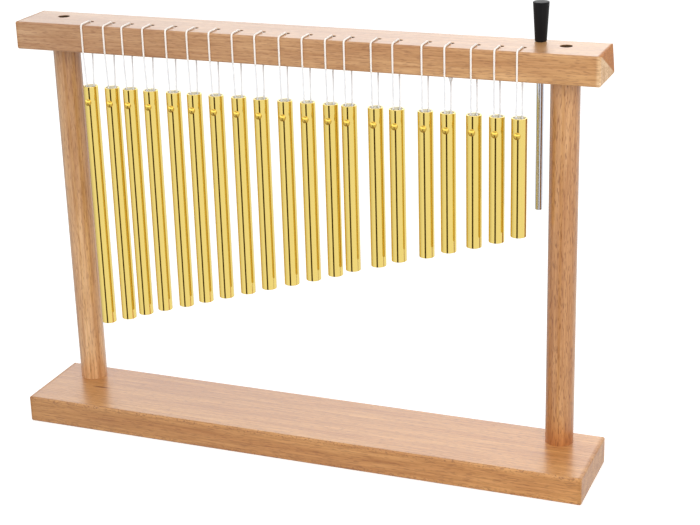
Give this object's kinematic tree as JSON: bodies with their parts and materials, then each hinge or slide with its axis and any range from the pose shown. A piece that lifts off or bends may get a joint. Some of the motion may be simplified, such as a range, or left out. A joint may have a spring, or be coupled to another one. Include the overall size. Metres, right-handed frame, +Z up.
{
  "type": "bar chimes",
  "caption": "Table-top bar chimes: a wooden stand whose bar carries a row of graded gold tubes on cord loops, with a steel striker parked in the bar.",
  "frame": {"origin": "middle of the base board's underside, on the table", "axes": "+Z up, +X along the bar from the long tubes to the short ones, +Y to the back, where the posts stand"},
  "size_m": [0.381, 0.061, 0.2927],
  "materials": {
    "beech": "sanded and waxed beech",
    "gold_tube": "gold anodised, bright",
    "white_cord": "twisted nylon cord",
    "striker_steel": "polished rod",
    "handle_black": "matte black",
    "screw_steel": "dark zinc plate"
  },
  "bodies": {
    "frame": {"base_board": "beech", "left_post": "beech", "right_post": "beech", "top_bar": "beech", "bar_screws": "screw_steel", "base_screws": "screw_steel", "cord_wraps": "white_cord"},
    "striker": {"striker_rod": "striker_steel", "striker_handle": "handle_black"},
    "hanger_01": {"hanging_cord_01": "white_cord"},
    "chime_01": {"chime_tube_01": "gold_tube"},
    "hanger_02": {"hanging_cord_02": "white_cord"},
    "chime_02": {"chime_tube_02": "gold_tube"},
    "hanger_03": {"hanging_cord_03": "white_cord"},
    "chime_03": {"chime_tube_03": "gold_tube"},
    "hanger_04": {"hanging_cord_04": "white_cord"},
    "chime_04": {"chime_tube_04": "gold_tube"},
    "hanger_05": {"hanging_cord_05": "white_cord"},
    "chime_05": {"chime_tube_05": "gold_tube"},
    "hanger_06": {"hanging_cord_06": "white_cord"},
    "chime_06": {"chime_tube_06": "gold_tube"},
    "hanger_07": {"hanging_cord_07": "white_cord"},
    "chime_07": {"chime_tube_07": "gold_tube"},
    "hanger_08": {"hanging_cord_08": "white_cord"},
    "chime_08": {"chime_tube_08": "gold_tube"},
    "hanger_09": {"hanging_cord_09": "white_cord"},
    "chime_09": {"chime_tube_09": "gold_tube"},
    "hanger_10": {"hanging_cord_10": "white_cord"},
    "chime_10": {"chime_tube_10": "gold_tube"},
    "hanger_11": {"hanging_cord_11": "white_cord"},
    "chime_11": {"chime_tube_11": "gold_tube"},
    "hanger_12": {"hanging_cord_12": "white_cord"},
    "chime_12": {"chime_tube_12": "gold_tube"},
    "hanger_13": {"hanging_cord_13": "white_cord"},
    "chime_13": {"chime_tube_13": "gold_tube"},
    "hanger_14": {"hanging_cord_14": "white_cord"},
    "chime_14": {"chime_tube_14": "gold_tube"},
    "hanger_15": {"hanging_cord_15": "white_cord"},
    "chime_15": {"chime_tube_15": "gold_tube"},
    "hanger_16": {"hanging_cord_16": "white_cord"},
    "chime_16": {"chime_tube_16": "gold_tube"},
    "hanger_17": {"hanging_cord_17": "white_cord"},
    "chime_17": {"chime_tube_17": "gold_tube"},
    "hanger_18": {"hanging_cord_18": "white_cord"},
    "chime_18": {"chime_tube_18": "gold_tube"},
    "hanger_19": {"hanging_cord_19": "white_cord"},
    "chime_19": {"chime_tube_19": "gold_tube"},
    "hanger_20": {"hanging_cord_20": "white_cord"},
    "chime_20": {"chime_tube_20": "gold_tube"}
  },
  "joints": [
    {"name": "striker_lift", "type": "slide", "parent": "frame", "child": "striker", "axis": [0, 0, 1], "range_m": [0, 0.1]},
    {"name": "side_swing_01", "type": "hinge", "parent": "frame", "child": "hanger_01", "pos_m": [-0.14145, 0.00017, 0.2514], "axis": [0, -1, 0], "range_deg": [-3.4, 1.8]},
    {"name": "fore_aft_swing_01", "type": "hinge", "parent": "hanger_01", "child": "chime_01", "pos_m": [-0.14145, 0.00017, 0.2514], "axis": [1, 0, 0], "range_deg": [-40, 40], "deforming": ["hanging_cord_01"]},
    {"name": "side_swing_02", "type": "hinge", "parent": "frame", "child": "hanger_02", "pos_m": [-0.12595, 0.00017, 0.2514], "axis": [0, -1, 0], "range_deg": [-1.8, 1]},
    {"name": "fore_aft_swing_02", "type": "hinge", "parent": "hanger_02", "child": "chime_02", "pos_m": [-0.12595, 0.00017, 0.2514], "axis": [1, 0, 0], "range_deg": [-40, 40], "deforming": ["hanging_cord_02"]},
    {"name": "side_swing_03", "type": "hinge", "parent": "frame", "child": "hanger_03", "pos_m": [-0.11295, 0.00017, 0.2514], "axis": [0, -1, 0], "range_deg": [-1, 1.5]},
    {"name": "fore_aft_swing_03", "type": "hinge", "parent": "hanger_03", "child": "chime_03", "pos_m": [-0.11295, 0.00017, 0.2514], "axis": [1, 0, 0], "range_deg": [-40, 40], "deforming": ["hanging_cord_03"]},
    {"name": "side_swing_04", "type": "hinge", "parent": "frame", "child": "hanger_04", "pos_m": [-0.09845, 0.00017, 0.2514], "axis": [0, -1, 0], "range_deg": [-1.5, 2.1]},
    {"name": "fore_aft_swing_04", "type": "hinge", "parent": "hanger_04", "child": "chime_04", "pos_m": [-0.09845, 0.00017, 0.2514], "axis": [1, 0, 0], "range_deg": [-40, 40], "deforming": ["hanging_cord_04"]},
    {"name": "side_swing_05", "type": "hinge", "parent": "frame", "child": "hanger_05", "pos_m": [-0.08245, 0.00017, 0.2514], "axis": [0, -1, 0], "range_deg": [-2.1, 1.6]},
    {"name": "fore_aft_swing_05", "type": "hinge", "parent": "hanger_05", "child": "chime_05", "pos_m": [-0.08245, 0.00017, 0.2514], "axis": [1, 0, 0], "range_deg": [-40, 40], "deforming": ["hanging_cord_05"]},
    {"name": "side_swing_06", "type": "hinge", "parent": "frame", "child": "hanger_06", "pos_m": [-0.06795, 0.00017, 0.2514], "axis": [0, -1, 0], "range_deg": [-1.6, 1.9]},
    {"name": "fore_aft_swing_06", "type": "hinge", "parent": "hanger_06", "child": "chime_06", "pos_m": [-0.06795, 0.00017, 0.2514], "axis": [1, 0, 0], "range_deg": [-40, 40], "deforming": ["hanging_cord_06"]},
    {"name": "side_swing_07", "type": "hinge", "parent": "frame", "child": "hanger_07", "pos_m": [-0.05295, 0.00017, 0.2514], "axis": [0, -1, 0], "range_deg": [-1.9, 2.1]},
    {"name": "fore_aft_swing_07", "type": "hinge", "parent": "hanger_07", "child": "chime_07", "pos_m": [-0.05295, 0.00017, 0.2514], "axis": [1, 0, 0], "range_deg": [-40, 40], "deforming": ["hanging_cord_07"]},
    {"name": "side_swing_08", "type": "hinge", "parent": "frame", "child": "hanger_08", "pos_m": [-0.03745, 0.00017, 0.2514], "axis": [0, -1, 0], "range_deg": [-2.1, 2]},
    {"name": "fore_aft_swing_08", "type": "hinge", "parent": "hanger_08", "child": "chime_08", "pos_m": [-0.03745, 0.00017, 0.2514], "axis": [1, 0, 0], "range_deg": [-40, 40], "deforming": ["hanging_cord_08"]},
    {"name": "side_swing_09", "type": "hinge", "parent": "frame", "child": "hanger_09", "pos_m": [-0.02245, 0.00017, 0.2514], "axis": [0, -1, 0], "range_deg": [-2, 2.5]},
    {"name": "fore_aft_swing_09", "type": "hinge", "parent": "hanger_09", "child": "chime_09", "pos_m": [-0.02245, 0.00017, 0.2514], "axis": [1, 0, 0], "range_deg": [-40, 40], "deforming": ["hanging_cord_09"]},
    {"name": "side_swing_10", "type": "hinge", "parent": "frame", "child": "hanger_10", "pos_m": [-0.00645, 0.00017, 0.2514], "axis": [0, -1, 0], "range_deg": [-2.5, 2.1]},
    {"name": "fore_aft_swing_10", "type": "hinge", "parent": "hanger_10", "child": "chime_10", "pos_m": [-0.00645, 0.00017, 0.2514], "axis": [1, 0, 0], "range_deg": [-40, 40], "deforming": ["hanging_cord_10"]},
    {"name": "side_swing_11", "type": "hinge", "parent": "frame", "child": "hanger_11", "pos_m": [0.00855, 0.00017, 0.2514], "axis": [0, -1, 0], "range_deg": [-2.1, 2.2]},
    {"name": "fore_aft_swing_11", "type": "hinge", "parent": "hanger_11", "child": "chime_11", "pos_m": [0.00855, 0.00017, 0.2514], "axis": [1, 0, 0], "range_deg": [-40, 40], "deforming": ["hanging_cord_11"]},
    {"name": "side_swing_12", "type": "hinge", "parent": "frame", "child": "hanger_12", "pos_m": [0.02355, 0.00017, 0.2514], "axis": [0, -1, 0], "range_deg": [-2.2, 0.9]},
    {"name": "fore_aft_swing_12", "type": "hinge", "parent": "hanger_12", "child": "chime_12", "pos_m": [0.02355, 0.00017, 0.2514], "axis": [1, 0, 0], "range_deg": [-40, 40], "deforming": ["hanging_cord_12"]},
    {"name": "side_swing_13", "type": "hinge", "parent": "frame", "child": "hanger_13", "pos_m": [0.03555, 0.00017, 0.2514], "axis": [0, -1, 0], "range_deg": [-0.9, 3.3]},
    {"name": "fore_aft_swing_13", "type": "hinge", "parent": "hanger_13", "child": "chime_13", "pos_m": [0.03555, 0.00017, 0.2514], "axis": [1, 0, 0], "range_deg": [-40, 40], "deforming": ["hanging_cord_13"]},
    {"name": "side_swing_14", "type": "hinge", "parent": "frame", "child": "hanger_14", "pos_m": [0.05255, 0.00017, 0.2514], "axis": [0, -1, 0], "range_deg": [-3.3, 1.7]},
    {"name": "fore_aft_swing_14", "type": "hinge", "parent": "hanger_14", "child": "chime_14", "pos_m": [0.05255, 0.00017, 0.2514], "axis": [1, 0, 0], "range_deg": [-40, 40], "deforming": ["hanging_cord_14"]},
    {"name": "side_swing_15", "type": "hinge", "parent": "frame", "child": "hanger_15", "pos_m": [0.06605, 0.00017, 0.2514], "axis": [0, -1, 0], "range_deg": [-1.7, 4.1]},
    {"name": "fore_aft_swing_15", "type": "hinge", "parent": "hanger_15", "child": "chime_15", "pos_m": [0.06605, 0.00017, 0.2514], "axis": [1, 0, 0], "range_deg": [-40, 40], "deforming": ["hanging_cord_15"]},
    {"name": "side_swing_16", "type": "hinge", "parent": "frame", "child": "hanger_16", "pos_m": [0.08405, 0.00017, 0.2514], "axis": [0, -1, 0], "range_deg": [-4.1, 2.2]},
    {"name": "fore_aft_swing_16", "type": "hinge", "parent": "hanger_16", "child": "chime_16", "pos_m": [0.08405, 0.00017, 0.2514], "axis": [1, 0, 0], "range_deg": [-40, 40], "deforming": ["hanging_cord_16"]},
    {"name": "side_swing_17", "type": "hinge", "parent": "frame", "child": "hanger_17", "pos_m": [0.09805, 0.00017, 0.2514], "axis": [0, -1, 0], "range_deg": [-2.2, 3.4]},
    {"name": "fore_aft_swing_17", "type": "hinge", "parent": "hanger_17", "child": "chime_17", "pos_m": [0.09805, 0.00017, 0.2514], "axis": [1, 0, 0], "range_deg": [-40, 40], "deforming": ["hanging_cord_17"]},
    {"name": "side_swing_18", "type": "hinge", "parent": "frame", "child": "hanger_18", "pos_m": [0.11405, 0.00017, 0.2514], "axis": [0, -1, 0], "range_deg": [-3.4, 2.4]},
    {"name": "fore_aft_swing_18", "type": "hinge", "parent": "hanger_18", "child": "chime_18", "pos_m": [0.11405, 0.00017, 0.2514], "axis": [1, 0, 0], "range_deg": [-40, 40], "deforming": ["hanging_cord_18"]},
    {"name": "side_swing_19", "type": "hinge", "parent": "frame", "child": "hanger_19", "pos_m": [0.12805, 0.00017, 0.2514], "axis": [0, -1, 0], "range_deg": [-2.4, 2.2]},
    {"name": "fore_aft_swing_19", "type": "hinge", "parent": "hanger_19", "child": "chime_19", "pos_m": [0.12805, 0.00017, 0.2514], "axis": [1, 0, 0], "range_deg": [-40, 40], "deforming": ["hanging_cord_19"]},
    {"name": "side_swing_20", "type": "hinge", "parent": "frame", "child": "hanger_20", "pos_m": [0.14155, 0.00017, 0.2514], "axis": [0, -1, 0], "range_deg": [-2.2, 5.4]},
    {"name": "fore_aft_swing_20", "type": "hinge", "parent": "hanger_20", "child": "chime_20", "pos_m": [0.14155, 0.00017, 0.2514], "axis": [1, 0, 0], "range_deg": [-40, 9], "deforming": ["hanging_cord_20"]}
  ]
}
